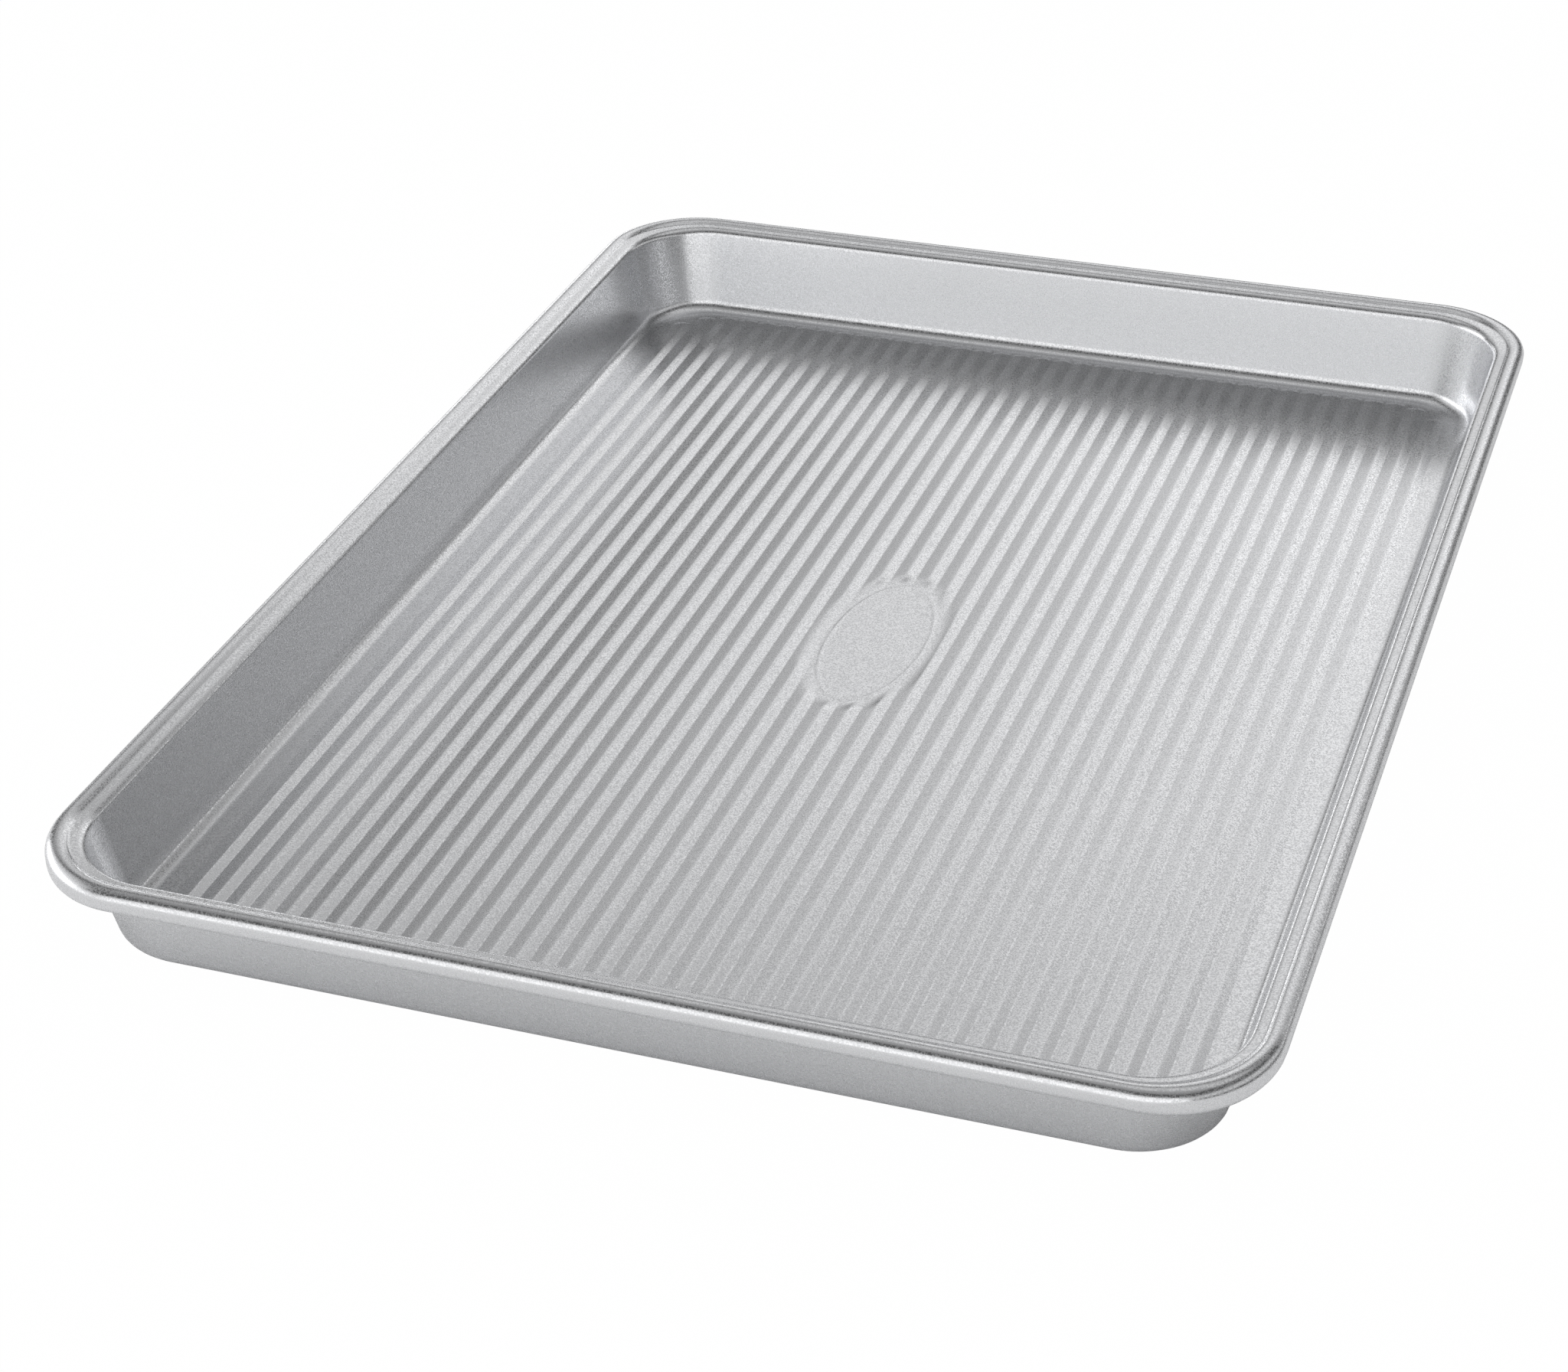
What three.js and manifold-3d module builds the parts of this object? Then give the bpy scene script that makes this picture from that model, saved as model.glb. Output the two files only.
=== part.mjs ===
// Half-size sheet pan: one pressed steel sheet with a ribbed floor, sloping walls and a rolled rim,
// and the steel wire that the rim is rolled around.
// Millimetres, +Z up. X runs across the pan and Y along it. The origin is the centre of the underside.

import * as THREE from 'three';
import { mergeVertices } from 'three/addons/utils/BufferGeometryUtils.js';
import Module from 'manifold-3d';

// Overall size, over the outside of the rolled rim
const PAN_WIDTH = 330;
const PAN_LENGTH = 461;
const PAN_HEIGHT = 31.6;
const SHEET = 0.8;

// Corner radii in plan, at the outer edge of the rim and at the edge of the flat floor
const RIM_CORNER_RADIUS = 32.3;
const FLOOR_CORNER_RADIUS = 20.5;

// Rim wire, and the gap where its two ends meet at the middle of the back side
const WIRE_DIAMETER = 4;
const WIRE_CLEARANCE = 0.3;
const WIRE_END_GAP = 1.5;

// Rolled rim: an upright oval around the wire, round above and below with a straight outer face between
const ROLL_STRAIGHT = 0.8;
const CREASE_ANGLE = THREE.MathUtils.degToRad(50);
const CURL_TAIL = 0.8;

// Ledge between the roll and the wall, and the wall's lean, along the middle of the sheet
const LEDGE_WIDTH = 4.14;
const LEDGE_FALL = 1.34;
const LEDGE_BEND = 3.5;
const WALL_LEAN = 5.6;
const FLOOR_BEND = 3.7;

// Floor: flat border, ribs along the pan's length, and the plain oval pad in the middle
const FLAT_BORDER = 2.75;
const RIB_PITCH = 7.43;
const RIB_VALLEY = 0.5;
const RIB_HEIGHT = 0.7;
const PAD_WIDTH = 30;
const PAD_LENGTH = 71;
const PAD_CLEARANCE = 2.5;

// Fineness of the round stretches
const ARC_STEP = THREE.MathUtils.degToRad(23);
const RIM_CORNER_STEPS = 6;
const RIB_CORNER_STEPS = 2;
const RIB_LEVELS = 3;
const WIRE_SIDES = 8;

// How far a rib's body reaches into the sheet, so that it joins it or cuts it cleanly
const RIB_ROOT = SHEET / 3;

const WIRE_RADIUS = WIRE_DIAMETER / 2;
const ROLL_RADIUS = WIRE_RADIUS + WIRE_CLEARANCE + SHEET;
const rollTop = new THREE.Vector2(ROLL_RADIUS, PAN_HEIGHT - ROLL_RADIUS);
const rollBottom = new THREE.Vector2(ROLL_RADIUS, rollTop.y - ROLL_STRAIGHT);

const wasm = await Module();
wasm.setup();

// Points on an arc in the section plane, where x is the inset from the pan's outer edge and y the height
function arcPoints(centre, radius, start, sweep) {
  const steps = Math.ceil(Math.abs(sweep) / ARC_STEP);
  return Array.from({ length: steps + 1 }, (_, i) => {
    const angle = start + (sweep * i) / steps;
    const spoke = new THREE.Vector2(Math.cos(angle), Math.sin(angle));
    return spoke.multiplyScalar(radius).add(centre);
  });
}

// The bend that replaces a sharp corner of the section
function bendPoints(before, corner, after, radius) {
  const back = before.clone().sub(corner).normalize();
  const ahead = after.clone().sub(corner).normalize();
  const halfAngle = back.angleTo(ahead) / 2;
  const inwards = back.clone().add(ahead).normalize();
  const centre = inwards.multiplyScalar(radius / Math.sin(halfAngle)).add(corner);
  const reach = radius / Math.tan(halfAngle);
  const start = back.multiplyScalar(reach).add(corner).sub(centre).angle();
  const end = ahead.multiplyScalar(reach).add(corner).sub(centre).angle();
  const sweep = THREE.MathUtils.euclideanModulo(end - start + Math.PI, 2 * Math.PI) - Math.PI;
  return arcPoints(centre, radius, start, sweep);
}

// Middle line of the sheet, from the flat floor up the wall, over the ledge and round the roll
function sheetMiddle() {
  const radius = ROLL_RADIUS - SHEET / 2;
  const creaseStart = Math.PI / 2 - CREASE_ANGLE;
  const overTheTop = arcPoints(rollTop, radius, creaseStart, Math.PI - creaseStart);
  const underneath = arcPoints(rollBottom, radius, Math.PI, Math.PI);
  const crease = overTheTop[0];
  const ledgeCorner = new THREE.Vector2(crease.x + LEDGE_WIDTH, crease.y - LEDGE_FALL);
  const floorCorner = new THREE.Vector2(ledgeCorner.x + WALL_LEAN, SHEET / 2);
  const onFloor = new THREE.Vector2(PAN_WIDTH / 2, SHEET / 2);
  const floorBend = bendPoints(onFloor, floorCorner, ledgeCorner, FLOOR_BEND);
  const ledgeBend = bendPoints(floorCorner, ledgeCorner, crease, LEDGE_BEND);
  const floorStart = new THREE.Vector2(floorBend[0].x + SHEET, SHEET / 2);
  const curlEnd = new THREE.Vector2(rollBottom.x + radius, rollBottom.y + CURL_TAIL);
  return [floorStart, ...floorBend, ...ledgeBend, ...overTheTop, ...underneath, curlEnd];
}

const sheetLine = sheetMiddle();
const FLOOR_INSET = sheetLine[0].x;

// A line parallel to a section line, to the right of its direction of travel
function parallelLine(points, distance) {
  const last = points.length - 1;
  return points.map((point, i) => {
    const arriving = point.clone().sub(points[Math.max(i - 1, 0)]);
    const leaving = points[Math.min(i + 1, last)].clone().sub(point);
    const before = (i === 0 ? leaving : arriving).clone().normalize();
    const after = (i === last ? arriving : leaving).clone().normalize();
    const along = before.clone().add(after).normalize();
    const mitre = distance / along.dot(after);
    return new THREE.Vector2(point.x + along.y * mitre, point.y - along.x * mitre);
  });
}

// Corner radius of the pan's outline at a given inset from its outer edge
function cornerRadius(inset) {
  return THREE.MathUtils.lerp(RIM_CORNER_RADIUS, FLOOR_CORNER_RADIUS, inset / FLOOR_INSET);
}

// A rounded rectangle at one height, anticlockwise from the back left corner
function roundedOutline(halfWidth, halfLength, radius, z, steps) {
  const quarters = [[-1, 1], [-1, -1], [1, -1], [1, 1]];
  return quarters.flatMap(([sideX, sideY], quarter) => Array.from({ length: steps + 1 }, (_, i) => {
    const angle = (Math.PI / 2) * (quarter + 1 + i / steps);
    const x = sideX * (halfWidth - radius) + radius * Math.cos(angle);
    const y = sideY * (halfLength - radius) + radius * Math.sin(angle);
    return new THREE.Vector3(x, y, z);
  }));
}

// The pan's outline at a point of the section
function panOutline({ x: inset, y: z }) {
  const radius = cornerRadius(inset);
  return roundedOutline(PAN_WIDTH / 2 - inset, PAN_LENGTH / 2 - inset, radius, z, RIM_CORNER_STEPS);
}

// A closed body stitched through rings of equal count, with its first and last rings filled in
function bodyThrough(rings) {
  const count = rings[0].length;
  const positions = rings.flat().flatMap((point) => [point.x, point.y, point.z]);
  const index = [];
  for (let ring = 0; ring < rings.length - 1; ring += 1) {
    for (let i = 0; i < count; i += 1) {
      const here = ring * count + i;
      const beside = ring * count + ((i + 1) % count);
      index.push(here, here + count, beside + count, here, beside + count, beside);
    }
  }
  const lastRing = (rings.length - 1) * count;
  for (let i = 1; i < count - 1; i += 1) {
    index.push(0, i, i + 1, lastRing, lastRing + i + 1, lastRing + i);
  }
  const geometry = new THREE.BufferGeometry();
  geometry.setAttribute('position', new THREE.Float32BufferAttribute(positions, 3));
  geometry.setIndex(index);
  return geometry;
}

function toSolid(geometry) {
  const merged = mergeVertices(geometry);
  const vertProperties = new Float32Array(merged.attributes.position.array);
  const triVerts = new Uint32Array(merged.index.array);
  return new wasm.Manifold(new wasm.Mesh({ numProp: 3, vertProperties, triVerts }));
}

function toGeometry(solid) {
  const mesh = solid.getMesh();
  const geometry = new THREE.BufferGeometry();
  geometry.setAttribute('position', new THREE.Float32BufferAttribute(mesh.vertProperties, 3));
  geometry.setIndex(Array.from(mesh.triVerts));
  const faceted = geometry.toNonIndexed();
  faceted.computeVertexNormals();
  return faceted;
}

// One domed rib with rounded ends, standing on the given height
function ribBody(rib, baseZ) {
  const levels = Array.from({ length: RIB_LEVELS }, (_, i) => (i + 1) / RIB_LEVELS);
  const rise = (share) => baseZ + RIB_HEIGHT * (1 - share * share);
  const heights = [...levels.map(rise), baseZ - RIB_ROOT];
  const shares = [...levels, 1];
  const rings = heights.map((z, i) => {
    const halfWidth = rib.halfWidth * shares[i];
    const halfLength = rib.halfLength - rib.halfWidth + halfWidth;
    return roundedOutline(halfWidth, halfLength, halfWidth, z, RIB_CORNER_STEPS);
  });
  return toSolid(bodyThrough(rings).translate(rib.x, rib.y, 0));
}

// Where the ribs lie: across the flat floor at one pitch, ending at its border and at the oval pad
function ribLayout() {
  const inset = FLOOR_INSET + FLAT_BORDER;
  const halfX = PAN_WIDTH / 2 - inset;
  const halfY = PAN_LENGTH / 2 - inset;
  const radius = cornerRadius(inset);
  const halfWidth = (RIB_PITCH - RIB_VALLEY) / 2;
  const count = Math.floor((2 * halfX) / RIB_PITCH);
  const padX = PAD_WIDTH / 2 + PAD_CLEARANCE;
  const padY = PAD_LENGTH / 2 + PAD_CLEARANCE;
  return Array.from({ length: count }, (_, i) => (i - (count - 1) / 2) * RIB_PITCH).flatMap((x) => {
    const intoCorner = Math.max(0, Math.abs(x) + halfWidth - (halfX - radius));
    const end = halfY - radius + Math.sqrt(radius * radius - intoCorner * intoCorner);
    if (Math.abs(x) >= padX) {
      return [{ x, y: 0, halfWidth, halfLength: end }];
    }
    const start = padY * Math.sqrt(1 - (x / padX) ** 2);
    const middle = (start + end) / 2;
    return [-middle, middle].map((y) => ({ x, y, halfWidth, halfLength: (end - start) / 2 }));
  });
}

// The pressed sheet: the plain pan, with each rib raised on the floor and hollow underneath
function makePanBody() {
  const inside = parallelLine(sheetLine, SHEET / 2);
  const outside = parallelLine(sheetLine, -SHEET / 2).reverse();
  let pan = toSolid(bodyThrough([...inside, ...outside].map(panOutline)));
  for (const rib of ribLayout()) {
    pan = pan.add(ribBody(rib, SHEET)).subtract(ribBody(rib, 0));
  }
  return toGeometry(pan);
}

// One line along the wire's surface, from its first end round the pan to its other end
function wireLine(sectionPoint) {
  const y = PAN_LENGTH / 2 - sectionPoint.x;
  const ends = [-1, 1].map((side) => new THREE.Vector3((side * WIRE_END_GAP) / 2, y, sectionPoint.y));
  return [ends[0], ...panOutline(sectionPoint), ends[1]];
}

// The wire, lying in the lower round of the roll
function makeRimWire() {
  const lines = Array.from({ length: WIRE_SIDES }, (_, side) => {
    const angle = Math.PI - (2 * Math.PI * side) / WIRE_SIDES;
    const spoke = new THREE.Vector2(Math.cos(angle), Math.sin(angle));
    return wireLine(spoke.multiplyScalar(WIRE_RADIUS).add(rollBottom));
  });
  const rings = lines[0].map((_, station) => lines.map((line) => line[station]));
  return bodyThrough(rings);
}

function part(name, geometry, material) {
  const mesh = new THREE.Mesh(geometry, material);
  mesh.name = name;
  return mesh;
}

const coatedSheet = new THREE.MeshStandardMaterial({ color: '#b4b6b8', roughness: 0.42, metalness: 1 });
const drawnWire = new THREE.MeshStandardMaterial({ color: '#8d9092', roughness: 0.35, metalness: 1 });

const pan = new THREE.Group();
pan.add(part('pan_body', makePanBody(), coatedSheet));
pan.add(part('rim_wire', makeRimWire(), drawnWire));

export default pan;
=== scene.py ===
"""Half-size sheet pan in a small white studio.

The pressed sheet is built here as one fine mesh: a ribbed floor with a plain oval pad, sloping walls, a
narrow ledge and an edge rolled over a wire. Its overall size comes from the frame, and the wire is the
part's own solid. Lengths are in millimetres and angles in degrees until they reach the scene.
"""

import math

import bpy
import numpy as np
from mathutils import Matrix, Vector


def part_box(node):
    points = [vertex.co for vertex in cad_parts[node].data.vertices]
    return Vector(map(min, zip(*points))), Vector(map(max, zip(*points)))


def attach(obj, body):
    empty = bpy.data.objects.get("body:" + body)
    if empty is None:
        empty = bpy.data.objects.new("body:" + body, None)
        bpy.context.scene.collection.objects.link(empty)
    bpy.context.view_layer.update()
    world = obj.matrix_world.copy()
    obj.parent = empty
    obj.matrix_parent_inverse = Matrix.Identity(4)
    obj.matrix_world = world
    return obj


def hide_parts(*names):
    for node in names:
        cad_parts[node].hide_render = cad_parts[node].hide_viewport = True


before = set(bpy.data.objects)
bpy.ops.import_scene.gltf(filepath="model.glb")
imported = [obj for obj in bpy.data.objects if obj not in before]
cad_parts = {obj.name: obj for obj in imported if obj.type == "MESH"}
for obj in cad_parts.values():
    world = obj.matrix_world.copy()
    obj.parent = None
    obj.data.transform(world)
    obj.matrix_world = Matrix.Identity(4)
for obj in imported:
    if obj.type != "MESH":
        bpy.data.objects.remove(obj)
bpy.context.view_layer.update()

MM = 0.001

# Overall half sizes and height of the pan, from the frame
HALF_WIDTH, HALF_LENGTH, PAN_HEIGHT = np.array(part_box("pan_body")[1]) / MM

# Sheet and its section, measured on the side of the sheet that faces up into the pan
SHEET = 0.8
ROLL_RADIUS = 3.1
ROLL_STRAIGHT = 0.8
CURL_TAIL = 0.8
CORNER_DROOP = 1.0

# Groove where the ledge runs into the roll: its angle round the roll, the radius of its bend, and how many
# degrees further on lie the point that the bend aims at and the start of the plain round
GROOVE_ANGLE = 40
GROOVE_RADIUS = 1.6
GROOVE_AIM = 5
GROOVE_TO_ROUND = 12

# Ledge, wall and floor edge
LEDGE_INSET = 9.3
LEDGE_DROP = 1.8
LEDGE_BEND = 2.6
WALL_LEAN = 5.94
FLOOR_BEND = 4.2

# Corner radii in plan, at the outer edge and at the edge of the flat floor
RIM_CORNER_RADIUS = 32.3
FLOOR_CORNER_RADIUS = 20.5
FLOOR_INSET = 18.755

# Ribs along the floor
RIB_PITCH = 7.43
RIB_COUNT = 38
RIB_VALLEY = 0.3
RIB_HEIGHT = 0.72
RIB_CREST_SHARE = 0.585
RIB_CREST_ROUNDING = 0.1
RIB_END_INSET = 20.6
RIB_END_REACH = 2.2

# Plain oval pad in the middle, with a fine raised line around it
PAD_WIDTH = 30.0
PAD_LENGTH = 71.0
PAD_FADE_START = 0.8
PAD_FADE_END = 7.0
PAD_LINE_HEIGHT = 0.13
PAD_LINE_HALF_WIDTH = 0.5

# Fineness of the mesh: steps round the bends, cuts across a rib as shares of its pitch, and rows across the
# pan, the last ones by their distance from the end of the floor
ROLL_TOP_STEPS = 16
ROLL_UNDER_STEPS = 14
BEND_STEPS = 8
GROOVE_STEPS = 6
WALL_CUTS = 2
CORNER_STEPS = 36
RIB_CUTS = (0.0, 0.02, 0.05, 0.25, 0.43, 0.5, 0.55, 0.585, 0.615, 0.65, 0.7, 0.83, 0.95, 0.98)
PAD_CUTS = 16
PAD_ROW_STEP = 0.7
FADE_ROW_STEP = 1.0
MIDDLE_ROWS = 14
MIDDLE_ROWS_STOP = 26
END_ROWS = (20, 17, 15, *np.arange(13, 9, -1.0), *np.arange(9, 0, -0.5), 0)

# Distance of the mesh line that holds a straight stretch flat beside a bend, and the least gap of two lines
SUPPORT = 0.35
CLOSEST_LINES = 0.12

# Keeps the middle of the pad from a division by zero
TINY = 1e-6

# Camera, as the photograph was taken
CAMERA_PLACE = Vector((259.05, -817.82, 501.01)) * MM
CAMERA_TARGET = Vector((-18.975, -31.998, 0.0)) * MM
CAMERA_ROLL = math.radians(1.137)
CAMERA_LENS = 74.62
CAMERA_SENSOR = 36.0

# Studio: where the panels stand round the pan, and the lean of the back panels' sides, across per height
BACK_WALL = 1800
FRONT_WALL = -2000
LEFT_WALL = -1800
RIGHT_WALL = 1900
CEILING = 2100
CEILING_HALF_WIDTH = 1200
BACK_PANEL_LEAN = 1.57

# A level panel has no height of its own, so its glow is spread over this one
LEAST_PANEL_HEIGHT = 1

# White floor, a hair below the pan, the share of glow in what the camera sees of it, and the dim grey of
# the rest of the room
FLOOR_HALF = 4000.0
FLOOR_HEIGHT = -0.3
FLOOR_GLOW_SHARE = 0.99
ROOM_GREY = 0.08

# Lamp above the table
LAMP_SIDE = 2400 * MM
LAMP_PLACE = Vector((0, -500, 2200)) * MM
LAMP_POWER = 48


def unit(vector):
    """The vector at a length of one."""
    return vector / np.linalg.norm(vector)


def arc(centre, radius, start, end, steps):
    """Points of an arc in the section plane, which has the inset from the outer edge and the height."""
    angles = np.radians(np.linspace(start, end, steps + 1))
    return [np.array(centre) + radius * np.array((math.cos(a), math.sin(a))) for a in angles]


def bend(before, corner, after, radius, steps):
    """Points of the round bend that takes the place of a sharp corner."""
    back = unit(before - corner)
    ahead = unit(after - corner)
    half_angle = math.acos(back @ ahead) / 2
    centre = corner + unit(back + ahead) * radius / math.sin(half_angle)
    reach = radius / math.tan(half_angle)
    start = math.degrees(math.atan2(*(corner + back * reach - centre)[::-1]))
    end = math.degrees(math.atan2(*(corner + ahead * reach - centre)[::-1]))
    sweep = (end - start + 180) % 360 - 180
    return arc(centre, radius, start, start + sweep, steps)


def straight(start, end, cuts=0):
    """Inner points of a straight stretch, with one close to each end to hold the shading flat."""
    along = unit(end - start) * SUPPORT
    first, last = start + along, end - along
    return [first + (last - first) * share for share in np.linspace(0, 1, cuts + 2)]


def sheet_section():
    """The sheet's upper side from the edge of the floor, up the wall, over the ledge and round the roll.

    Each point has its inset from the outer edge, its height, and its share in the droop of the corners.
    """
    roll_top = np.array((ROLL_RADIUS, PAN_HEIGHT - ROLL_RADIUS))
    roll_bottom = roll_top - (0, ROLL_STRAIGHT)
    ledge_corner = np.array((LEDGE_INSET, PAN_HEIGHT - LEDGE_DROP))
    groove, up_the_roll = arc(roll_top, ROLL_RADIUS, GROOVE_ANGLE, GROOVE_ANGLE + GROOVE_AIM, 1)
    floor_corner = np.array((ledge_corner[0] + WALL_LEAN, SHEET))
    floor_edge = np.array((FLOOR_INSET, SHEET))
    over_the_top = arc(roll_top, ROLL_RADIUS, GROOVE_ANGLE + GROOVE_TO_ROUND, 180, ROLL_TOP_STEPS)
    underneath = arc(roll_bottom, ROLL_RADIUS, 180, 360, ROLL_UNDER_STEPS)
    floor_bend = bend(floor_edge, floor_corner, ledge_corner, FLOOR_BEND, BEND_STEPS)
    ledge_bend = bend(floor_corner, ledge_corner, groove, LEDGE_BEND, BEND_STEPS)
    groove_bend = bend(ledge_corner, groove, up_the_roll, GROOVE_RADIUS, GROOVE_STEPS)
    curl_end = underneath[-1] + (0, CURL_TAIL)
    steady = [
        floor_edge,
        *floor_bend,
        *straight(floor_bend[-1], ledge_bend[0], WALL_CUTS),
        *ledge_bend,
        *straight(ledge_bend[-1], groove_bend[0]),
        *groove_bend,
        *over_the_top,
    ]
    drooping = [*underneath, curl_end]
    return [(*point, 0) for point in steady] + [(*point, 1) for point in drooping]


def corner_radius(inset):
    """Radius of the corners in plan, which changes evenly from the outer edge to the edge of the floor."""
    return RIM_CORNER_RADIUS + (FLOOR_CORNER_RADIUS - RIM_CORNER_RADIUS) * inset / FLOOR_INSET


def corner_centre(inset):
    """Where the centre of the back right corner's arc lies at that inset."""
    return np.array((HALF_WIDTH, HALF_LENGTH)) - inset - corner_radius(inset)


def thinned(lines):
    """The lines in order, without those that all but touch the one before."""
    kept = []
    for line in sorted(lines):
        if not kept or line - kept[-1] > CLOSEST_LINES:
            kept.append(line)
    return np.array(kept)


def floor_columns():
    """Where the mesh lines along the pan cross it, on the right half: ribs, pad and corner arcs."""
    centre = corner_centre(FLOOR_INSET)[0]
    ribs = [(rib + cut) * RIB_PITCH for rib in range(RIB_COUNT // 2) for cut in RIB_CUTS]
    pad = list(np.arange(0, PAD_WIDTH / 2 + PAD_FADE_START, RIB_PITCH / PAD_CUTS))
    edge = [RIB_COUNT // 2 * RIB_PITCH]
    turns = np.radians(np.linspace(0, 90, CORNER_STEPS + 1))
    arcs = list(centre + FLOOR_CORNER_RADIUS * np.sin(turns))
    right = thinned(ribs + pad + edge + arcs)
    right[-1] = arcs[-1]
    return np.concatenate((-right[:0:-1], right))


def floor_rows():
    """Shares of the half length at which the mesh lines across the pan lie: close at rib ends and pad."""
    half = HALF_LENGTH - FLOOR_INSET
    pad_reach = PAD_LENGTH / 2 + PAD_FADE_START
    fade_reach = PAD_LENGTH / 2 + PAD_FADE_END
    across_pad = np.arange(0, pad_reach, PAD_ROW_STEP)
    across_fade = np.arange(pad_reach, fade_reach, FADE_ROW_STEP)
    between = np.linspace(fade_reach, half - MIDDLE_ROWS_STOP, MIDDLE_ROWS)
    towards_end = half - np.array(END_ROWS)
    back = np.concatenate((across_pad, across_fade, between, towards_end)) / half
    return np.concatenate((-back[:0:-1], back))


def smoothstep(value, start, end):
    """Goes gently from nought at the start to one at the end."""
    share = np.clip((value - start) / (end - start), 0, 1)
    return share * share * (3 - 2 * share)


def floor_height(x, y):
    """Height of the floor: roof-shaped ribs with rounded crests and ends, which fade out round the pad."""
    rib = np.clip(np.floor(x / RIB_PITCH), -RIB_COUNT // 2, RIB_COUNT // 2 - 1)
    crest_x = (rib + RIB_CREST_SHARE) * RIB_PITCH
    left_flank = RIB_PITCH * RIB_CREST_SHARE - RIB_VALLEY / 2
    right_flank = RIB_PITCH - RIB_VALLEY - left_flank
    flank = np.where(x < crest_x, left_flank, right_flank)
    radius = corner_radius(RIB_END_INSET)
    centre_x, centre_y = corner_centre(RIB_END_INSET)
    outer_edge = np.maximum(np.abs(rib), np.abs(rib + 1)) * RIB_PITCH
    into_corner = np.maximum(0, outer_edge - centre_x)
    rib_end = centre_y + np.sqrt(radius**2 - into_corner**2)
    past_end = np.maximum(0, np.abs(y) - (rib_end - RIB_END_REACH))
    off_crest = np.hypot((x - crest_x) / flank, past_end / RIB_END_REACH)
    rounded = np.hypot(off_crest, RIB_CREST_ROUNDING) - RIB_CREST_ROUNDING
    full_fall = math.hypot(1, RIB_CREST_ROUNDING) - RIB_CREST_ROUNDING
    rib_height = RIB_HEIGHT * np.maximum(0, 1 - rounded / full_fall)

    half_x, half_y = PAD_WIDTH / 2, PAD_LENGTH / 2
    reach = np.hypot(x / half_x, y / half_y)
    steepness = np.hypot(x / half_x**2, y / half_y**2) + TINY
    from_line = reach * (reach - 1) / steepness
    fade = smoothstep(from_line, PAD_FADE_START, PAD_FADE_END)
    line = PAD_LINE_HEIGHT * np.exp(-((from_line / PAD_LINE_HALF_WIDTH) ** 2))
    return SHEET + rib_height * fade + line


def floor_grid():
    """Points of the floor in columns and rows, with its outer lines on the floor's rounded outline."""
    columns = floor_columns()
    rows = floor_rows()
    centre_x, centre_y = corner_centre(FLOOR_INSET)
    into_corner = np.maximum(0, np.abs(columns) - centre_x)
    column_end = centre_y + np.sqrt(np.maximum(0, FLOOR_CORNER_RADIUS**2 - into_corner**2))
    x = np.repeat(columns[:, None], len(rows), axis=1)
    y = column_end[:, None] * rows[None, :]
    return np.stack((x, y, floor_height(x, y)), axis=2)


def grid_rim(count_x, count_y):
    """Places of the grid's outer points, anticlockwise from the front left corner."""
    front = [(i, 0) for i in range(count_x)]
    right = [(count_x - 1, j) for j in range(1, count_y)]
    back = [(i, count_y - 1) for i in range(count_x - 2, -1, -1)]
    left = [(0, j) for j in range(count_y - 2, 0, -1)]
    return front + right + back + left


def outline_stations(rim_points):
    """For each point of the floor's outline, its share along a side, and the way it faces."""
    centre = corner_centre(FLOOR_INSET)
    shares = np.clip(rim_points[:, :2] / centre, -1, 1)
    facing = rim_points[:, :2] - shares * centre
    return shares, facing / np.linalg.norm(facing, axis=1)[:, None]


def ring(shares, facing, inset, height, droop):
    """The pan's outline at a point of the section. Half way round a corner, the roll reaches lower."""
    flat = shares * corner_centre(inset) + facing * corner_radius(inset)
    round_corner = np.abs(2 * facing[:, 0] * facing[:, 1])
    return np.column_stack((flat, height - CORNER_DROOP * droop * round_corner))


def mesh_object(name, points, faces):
    """A smooth-shaded mesh from points in millimetres, put in the scene."""
    mesh = bpy.data.meshes.new(name)
    mesh.from_pydata((np.asarray(points) * MM).tolist(), [], faces)
    mesh.polygons.foreach_set("use_smooth", [True] * len(mesh.polygons))
    mesh.update()
    piece = bpy.data.objects.new(name, mesh)
    bpy.context.scene.collection.objects.link(piece)
    return piece


def make_pan():
    """The sheet's upper side as one skin, thickened to the gauge of the sheet."""
    grid = floor_grid()
    count_x, count_y = grid.shape[:2]
    points = [grid.reshape(-1, 3)]
    faces = []
    for i in range(count_x - 1):
        for j in range(count_y - 1):
            here = i * count_y + j
            faces.append((here, here + count_y, here + count_y + 1, here + 1))

    rim = grid_rim(count_x, count_y)
    previous = [i * count_y + j for i, j in rim]
    shares, facing = outline_stations(points[0][previous])
    first_free = len(points[0])
    for inset, height, droop in sheet_section()[1:]:
        points.append(ring(shares, facing, inset, height, droop))
        current = list(range(first_free, first_free + len(rim)))
        first_free += len(rim)
        for a, b, c, d in zip(previous, current, current[1:] + current[:1], previous[1:] + previous[:1]):
            faces.append((a, b, c, d))
        previous = current

    pan = mesh_object("pressed_sheet", np.concatenate(points), faces)
    gauge = pan.modifiers.new("gauge", "SOLIDIFY")
    gauge.thickness = SHEET * MM
    gauge.offset = -1
    gauge.use_even_offset = True
    return pan


def new_material(name):
    """A material with its nodes, links and main shader."""
    material = bpy.data.materials.new(name)
    material.use_nodes = True
    nodes = material.node_tree.nodes
    return material, nodes, material.node_tree.links, nodes["Principled BSDF"]


def noise(nodes, links, coordinates, scale, detail, roughness=0.5):
    """Fine grain that runs through the piece."""
    texture = nodes.new("ShaderNodeTexNoise")
    texture.inputs["Scale"].default_value = scale
    texture.inputs["Detail"].default_value = detail
    texture.inputs["Roughness"].default_value = roughness
    links.new(coordinates, texture.inputs["Vector"])
    return texture.outputs["Fac"]


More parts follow.
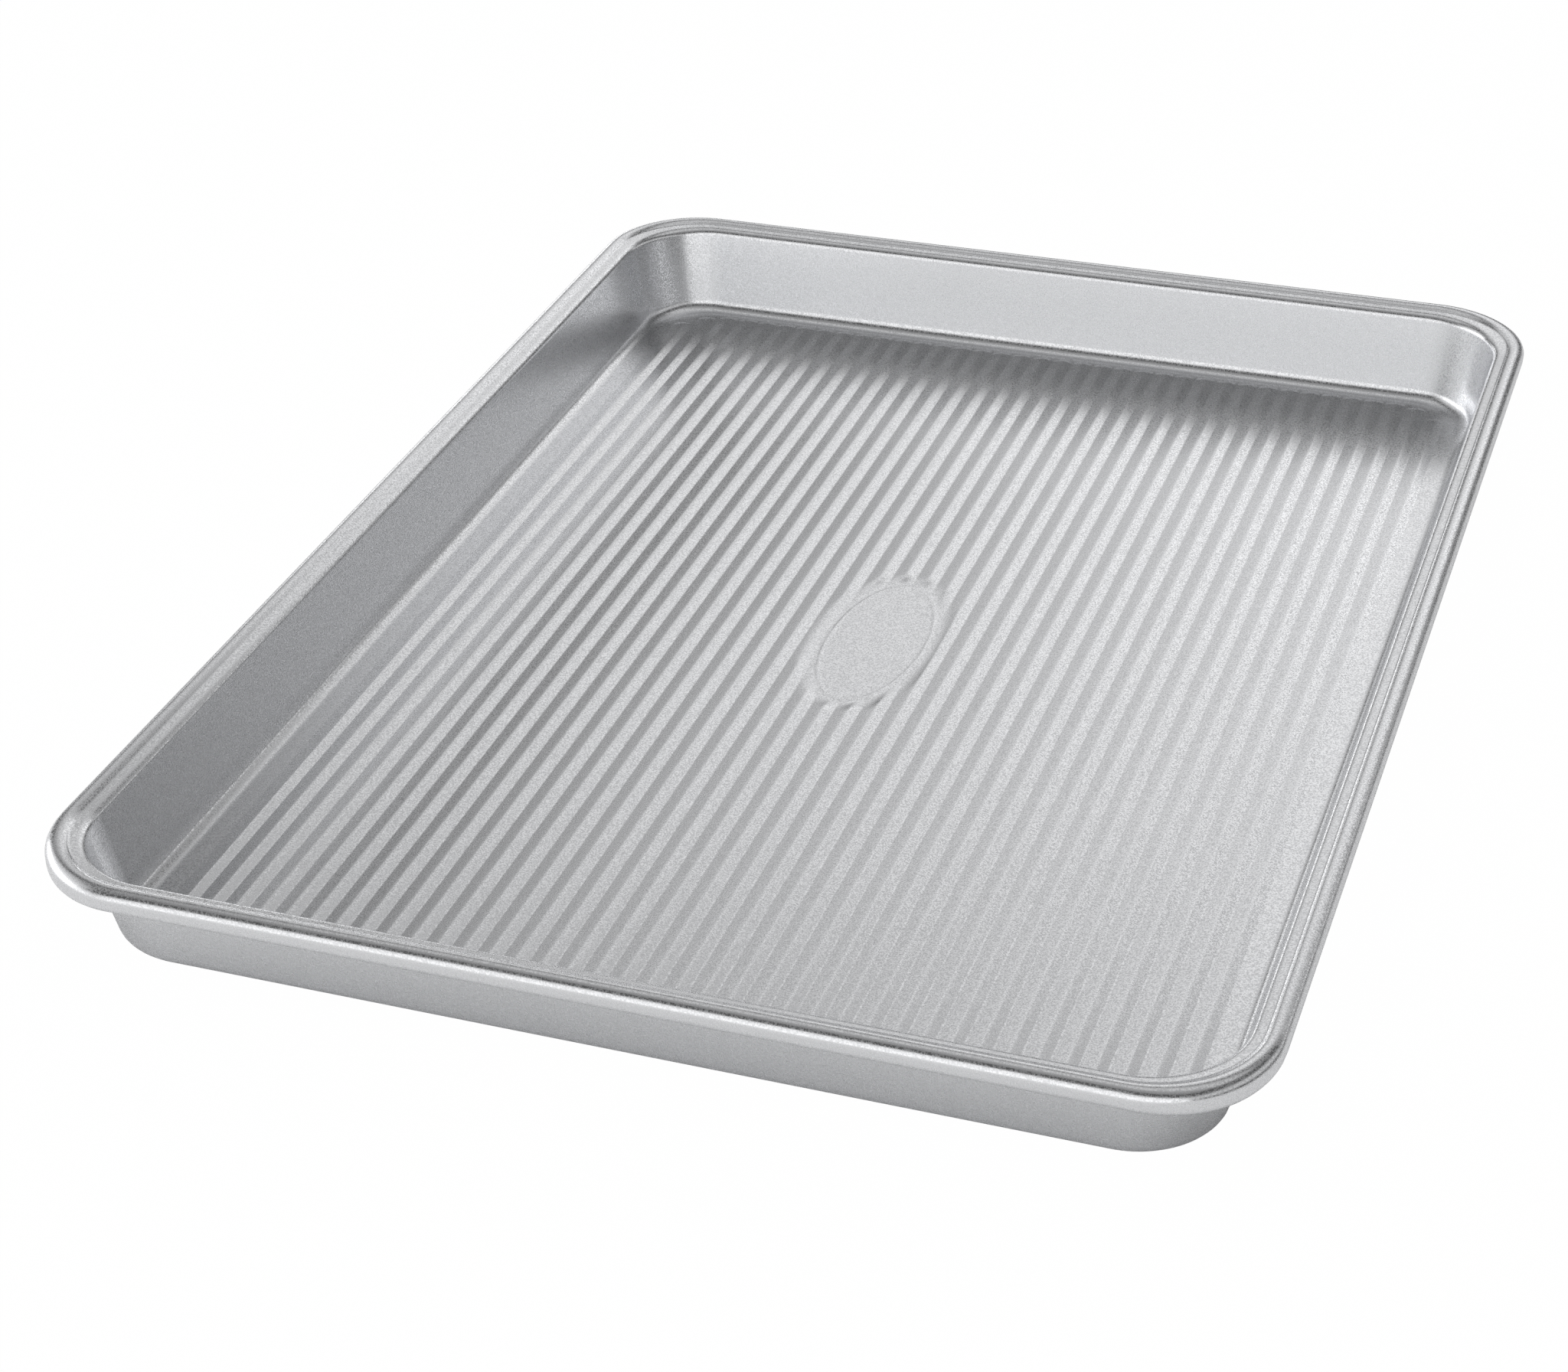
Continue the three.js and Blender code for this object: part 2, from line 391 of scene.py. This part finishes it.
def ramp(nodes, links, factor, low, high):
    """Colours between two stops, each of which has its place along the ramp and its colour."""
    node = nodes.new("ShaderNodeValToRGB")
    for stop, (place, colour) in zip(node.color_ramp.elements, (low, high)):
        stop.position = place
        stop.color = (*colour, 1)
    links.new(factor, node.inputs["Fac"])
    return node.outputs["Color"]


def coated_sheet_material():
    """Satin metal-coated steel with a fine speckled grain."""
    material, nodes, links, shader = new_material("coated_sheet")
    place = nodes.new("ShaderNodeTexCoord").outputs["Object"]
    grain = noise(nodes, links, place, scale=2000, detail=2, roughness=0.6)
    dark = (0.72, 0.725, 0.74)
    light = (0.82, 0.825, 0.84)
    tint = ramp(nodes, links, grain, (0.3, dark), (0.7, light))
    links.new(tint, shader.inputs["Base Color"])
    shader.inputs["Metallic"].default_value = 1
    smooth = (0.2, 0.2, 0.2)
    rough = (0.38, 0.38, 0.38)
    gloss = ramp(nodes, links, grain, (0.42, rough), (0.58, smooth))
    links.new(gloss, shader.inputs["Roughness"])
    bump = nodes.new("ShaderNodeBump")
    bump.inputs["Strength"].default_value = 0.06
    bump.inputs["Distance"].default_value = 0.0001
    links.new(grain, bump.inputs["Height"])
    links.new(bump.outputs["Normal"], shader.inputs["Normal"])
    return material


def wire_material():
    """Plain drawn steel wire, a slightly uneven darker grey."""
    material, nodes, links, shader = new_material("drawn_wire")
    place = nodes.new("ShaderNodeTexCoord").outputs["Object"]
    grain = noise(nodes, links, place, scale=600, detail=3)
    dark = (0.36, 0.365, 0.37)
    light = (0.5, 0.505, 0.51)
    tint = ramp(nodes, links, grain, (0.3, dark), (0.7, light))
    links.new(tint, shader.inputs["Base Color"])
    shader.inputs["Metallic"].default_value = 1
    shader.inputs["Roughness"].default_value = 0.38
    return material


def floor_material():
    """Studio floor: nearly all white glow to the camera, and a plain pale surface to the metal."""
    material, nodes, links, shader = new_material("studio_floor")
    shader.inputs["Base Color"].default_value = (0.8, 0.8, 0.8, 1)
    shader.inputs["Roughness"].default_value = 0.9
    shader.inputs["Specular IOR Level"].default_value = 0
    glow = nodes.new("ShaderNodeEmission")
    glow.inputs["Strength"].default_value = 1
    path = nodes.new("ShaderNodeLightPath")
    share = nodes.new("ShaderNodeMath")
    share.operation = "MULTIPLY"
    share.inputs[1].default_value = FLOOR_GLOW_SHARE
    links.new(path.outputs["Is Camera Ray"], share.inputs[0])
    mix = nodes.new("ShaderNodeMixShader")
    links.new(share.outputs[0], mix.inputs["Fac"])
    links.new(shader.outputs["BSDF"], mix.inputs[1])
    links.new(glow.outputs["Emission"], mix.inputs[2])
    links.new(mix.outputs["Shader"], nodes["Material Output"].inputs["Surface"])
    return material


def make_floor():
    """A wide level floor under the pan."""
    outline = ((-1, -1), (1, -1), (1, 1), (-1, 1))
    corners = [(FLOOR_HALF * x, FLOOR_HALF * y, FLOOR_HEIGHT) for x, y in outline]
    floor = mesh_object("studio_floor", corners, [(0, 1, 2, 3)])
    floor.data.materials.append(floor_material())


def panel_material(name, height, low_strength, high_strength):
    """Glow of a diffuser panel, which changes evenly from its lower edge to its upper edge."""
    material = bpy.data.materials.new(name)
    material.use_nodes = True
    nodes, links = material.node_tree.nodes, material.node_tree.links
    nodes.remove(nodes["Principled BSDF"])
    place = nodes.new("ShaderNodeTexCoord").outputs["Object"]
    parts = nodes.new("ShaderNodeSeparateXYZ")
    links.new(place, parts.inputs["Vector"])
    strength = nodes.new("ShaderNodeMapRange")
    strength.inputs["From Max"].default_value = height * MM
    strength.inputs["To Min"].default_value = low_strength
    strength.inputs["To Max"].default_value = high_strength
    links.new(parts.outputs["Z"], strength.inputs["Value"])
    glow = nodes.new("ShaderNodeEmission")
    links.new(strength.outputs["Result"], glow.inputs["Strength"])
    links.new(glow.outputs["Emission"], nodes["Material Output"].inputs["Surface"])
    return material


def light_panel(name, corners, low_strength, high_strength):
    """A flat diffuser panel that lights the pan but stays out of the picture."""
    corners = np.array(corners, dtype=float)
    foot = np.array((0, 0, corners[:, 2].min()))
    height = max(np.ptp(corners[:, 2]), LEAST_PANEL_HEIGHT)
    panel = mesh_object(name, corners - foot, [tuple(range(len(corners)))])
    panel.location = Vector(foot) * MM
    panel.data.materials.append(panel_material(name, height, low_strength, high_strength))
    panel.visible_camera = False
    panel.visible_shadow = False


def back_panel(name, left, right, bottom, top, low_strength, high_strength):
    """A panel behind the pan whose sides lean to the left, from where they would meet the floor."""
    places = ((left, bottom), (right, bottom), (right, top), (left, top))
    corners = [(side - BACK_PANEL_LEAN * z, BACK_WALL, z) for side, z in places]
    light_panel(name, corners, low_strength, high_strength)


def side_panel(name, x, front, back, bottom, top, low_strength, high_strength):
    """An upright panel beside the pan."""
    corners = [(x, front, bottom), (x, back, bottom), (x, back, top), (x, front, top)]
    light_panel(name, corners, low_strength, high_strength)


def front_panel(name, left, right, bottom, top, low_strength, high_strength):
    """An upright panel across the front of the set."""
    places = ((left, bottom), (right, bottom), (right, top), (left, top))
    corners = [(side, FRONT_WALL, z) for side, z in places]
    light_panel(name, corners, low_strength, high_strength)


def overhead_panel(name, front, back, strength):
    """A level panel above the pan."""
    places = ((-1, front), (1, front), (1, back), (-1, back))
    corners = [(side * CEILING_HALF_WIDTH, y, CEILING) for side, y in places]
    light_panel(name, corners, strength, strength)


def make_panels():
    """A big bank of panels behind the pan, low bright ones at the left, cards round it and two overhead.

    The numbers of an upright panel are its two sides, its bottom and top, and its glow at the bottom and at
    the top. A side panel has the wall that it stands at before them.
    """
    back_panel("back_left_panel", 150, 700, 430, 2000, 0.66, 0.58)
    back_panel("back_low_panel", 700, 1300, 430, 700, 0.5, 0.6)
    back_panel("back_middle_panel", 700, 1400, 700, 2000, 1.1, 0.35)
    back_panel("back_bright_panel", 1400, 2000, 700, 1000, 1.65, 1.3)
    back_panel("back_right_panel", 1400, 3050, 1000, 2000, 1.13, 0.74)
    back_panel("back_right_card", 2100, 3000, 430, 700, 1.1, 1.1)
    back_panel("back_right_low_panel", 2000, 3000, 700, 1000, 0.65, 0.65)
    back_panel("back_corner_panel", -1500, -450, 0, 560, 2.4, 1.2)

    side_panel("left_panel", LEFT_WALL, -850, 700, 0, 750, 1.6, 3.4)
    side_panel("left_top_panel", LEFT_WALL, -850, 900, 750, 2000, 0.95, 0.55)
    side_panel("left_front_card", LEFT_WALL, -1900, -850, 0, 1400, 1.6, 0.3)
    front_panel("front_low_card", -1700, 1700, 0, 700, 1.4, 1.15)
    front_panel("front_high_card", -1700, 1700, 700, 1600, 1.2, 1.0)
    side_panel("right_card", RIGHT_WALL, -1900, 1700, 500, 1500, 0.65, 0.65)
    overhead_panel("overhead_panel", 0, 1200, 0.65)
    overhead_panel("front_overhead_panel", -900, 0, 0.35)


def make_lamp():
    """A soft lamp above the table, which lights the floor and stays out of the metal's reflections."""
    lamp = bpy.data.lights.new("table_lamp", "AREA")
    lamp.shape = "RECTANGLE"
    lamp.size, lamp.size_y = LAMP_SIDE, LAMP_SIDE
    lamp.energy = LAMP_POWER
    light = bpy.data.objects.new("table_lamp", lamp)
    light.location = LAMP_PLACE
    light.visible_glossy = False
    bpy.context.scene.collection.objects.link(light)


def make_world():
    """White behind the pan for the camera, and a dim grey room for the reflections."""
    world = bpy.data.worlds.new("studio")
    world.use_nodes = True
    nodes, links = world.node_tree.nodes, world.node_tree.links
    background = nodes["Background"]
    background.inputs["Color"].default_value = (ROOM_GREY, ROOM_GREY, ROOM_GREY, 1)
    white = nodes.new("ShaderNodeBackground")
    path = nodes.new("ShaderNodeLightPath")
    mix = nodes.new("ShaderNodeMixShader")
    links.new(path.outputs["Is Camera Ray"], mix.inputs["Fac"])
    links.new(background.outputs["Background"], mix.inputs[1])
    links.new(white.outputs["Background"], mix.inputs[2])
    white.inputs["Color"].default_value = (1, 1, 1, 1)
    links.new(mix.outputs["Shader"], nodes["World Output"].inputs["Surface"])
    bpy.context.scene.world = world


def make_camera():
    """The camera at the photograph's place, with its slight roll."""
    camera_data = bpy.data.cameras.new("camera")
    camera_data.sensor_fit = "HORIZONTAL"
    camera_data.sensor_width = CAMERA_SENSOR
    camera_data.lens = CAMERA_LENS
    camera = bpy.data.objects.new("camera", camera_data)
    looking = CAMERA_TARGET - CAMERA_PLACE
    upright = looking.to_track_quat("-Z", "Y").to_matrix()
    turn = Matrix.Rotation(-CAMERA_ROLL, 3, "Z")
    camera.matrix_world = Matrix.Translation(CAMERA_PLACE) @ (upright @ turn).to_4x4()
    bpy.context.scene.collection.objects.link(camera)
    bpy.context.scene.camera = camera


pan = make_pan()
pan.data.materials.append(coated_sheet_material())
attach(pan, "root")
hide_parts("pan_body")

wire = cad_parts["rim_wire"]
wire.data.materials.clear()
wire.data.materials.append(wire_material())

make_floor()
make_panels()
make_lamp()
make_world()
make_camera()
bpy.context.scene.view_settings.view_transform = "Standard"
